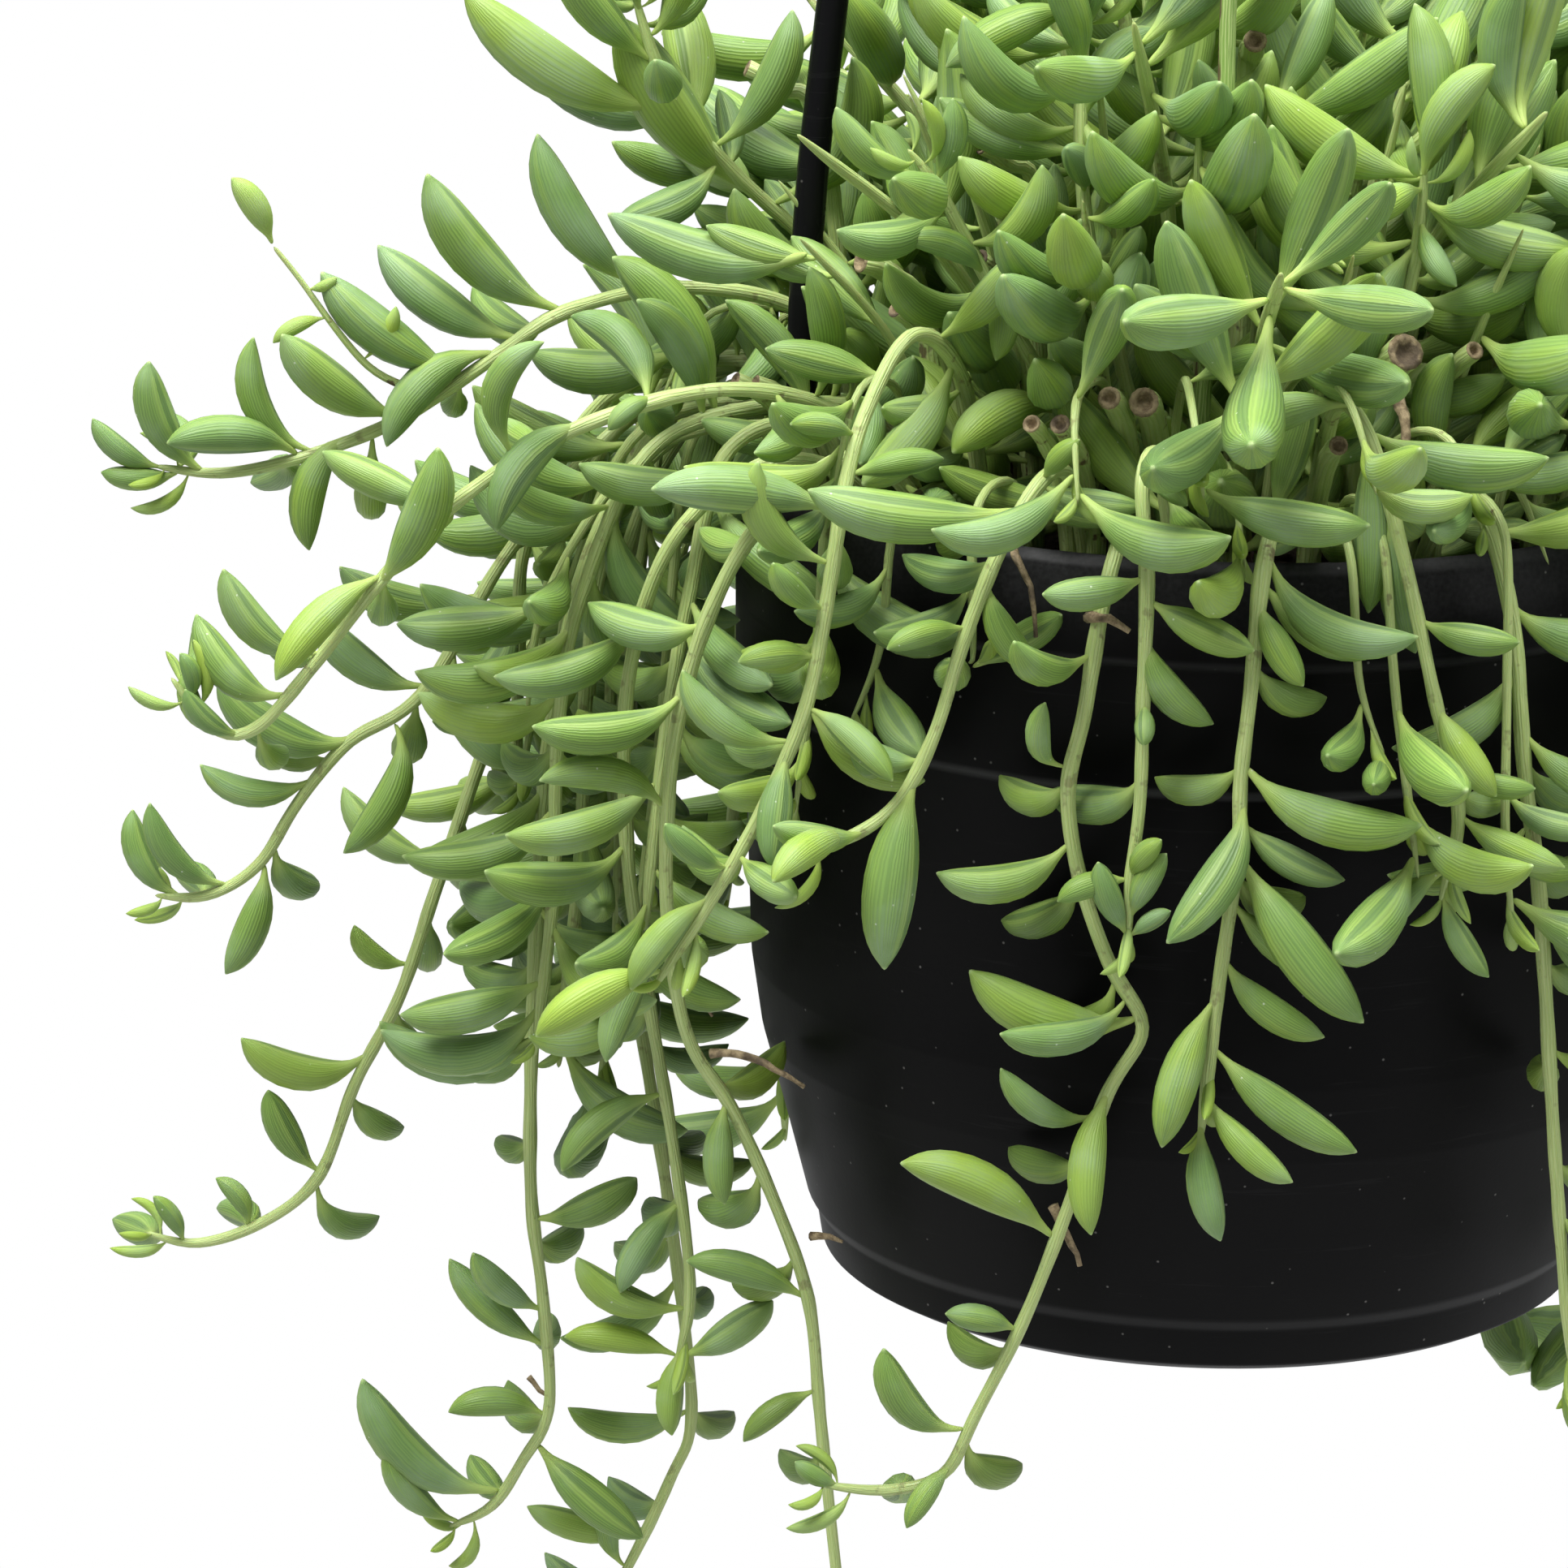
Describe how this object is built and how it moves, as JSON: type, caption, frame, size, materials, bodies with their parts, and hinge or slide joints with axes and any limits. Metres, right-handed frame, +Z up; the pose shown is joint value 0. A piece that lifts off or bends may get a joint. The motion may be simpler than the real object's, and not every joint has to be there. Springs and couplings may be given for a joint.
{
  "type": "potted string of bananas",
  "caption": "Hanging plastic pot with a hooked hanger, full of a trailing succulent with banana-shaped leaves.",
  "frame": {"origin": "where the hook bears on its rail", "axes": "+Z up along the hanger, -Y towards the viewer of the picture, +X to that viewer's right"},
  "size_m": [0.2909, 0.2246, 0.5797],
  "materials": {
    "pot_plastic": "satin black moulded plastic, a little dusty",
    "hanger_plastic": "soft gloss black plastic",
    "soil": "dark crumbly potting soil",
    "leaf": "smooth waxy succulent leaf"
  },
  "bodies": {
    "root": {"pot": "pot_plastic", "soil": "soil", "hanger_arm_left": "hanger_plastic", "hanger_arm_right": "hanger_plastic", "hanger_hook": "hanger_plastic", "shoot_01": "leaf", "shoot_02": "leaf", "shoot_03": "leaf", "shoot_04": "leaf", "shoot_05": "leaf", "shoot_06": "leaf", "shoot_07": "leaf", "shoot_08": "leaf", "shoot_09": "leaf", "shoot_10": "leaf", "shoot_11": "leaf", "shoot_12": "leaf", "shoot_13": "leaf", "shoot_high_left": "leaf", "shoot_rosette": "leaf", "shoot_sprout": "leaf", "shoot_upright": "leaf", "stem_back_01": "leaf", "stem_back_02": "leaf", "stem_back_03": "leaf", "stem_back_04": "leaf", "stem_back_05": "leaf", "stem_back_06": "leaf", "stem_back_07": "leaf", "stem_back_08": "leaf", "stem_back_09": "leaf", "stem_back_10": "leaf", "stem_back_11": "leaf", "stem_back_12": "leaf", "stem_back_13": "leaf", "stem_back_14": "leaf", "stem_back_15": "leaf", "stem_front_full": "leaf", "stem_front_leaning": "leaf", "stem_front_left": "leaf", "stem_front_long": "leaf", "stem_front_right": "leaf", "stem_front_straight": "leaf", "stem_left_01": "leaf", "stem_left_02": "leaf", "stem_left_03": "leaf", "stem_left_04": "leaf", "stem_left_05": "leaf", "stem_left_06": "leaf", "stem_left_07": "leaf", "stem_left_08": "leaf", "stem_left_lower": "leaf", "stem_left_middle": "leaf", "stem_left_upper": "leaf", "stem_long_arch": "leaf", "stem_low_back": "leaf", "stem_low_left": "leaf", "stem_low_middle": "leaf", "stem_low_right": "leaf", "stem_right_thin": "leaf"}
  },
  "joints": []
}
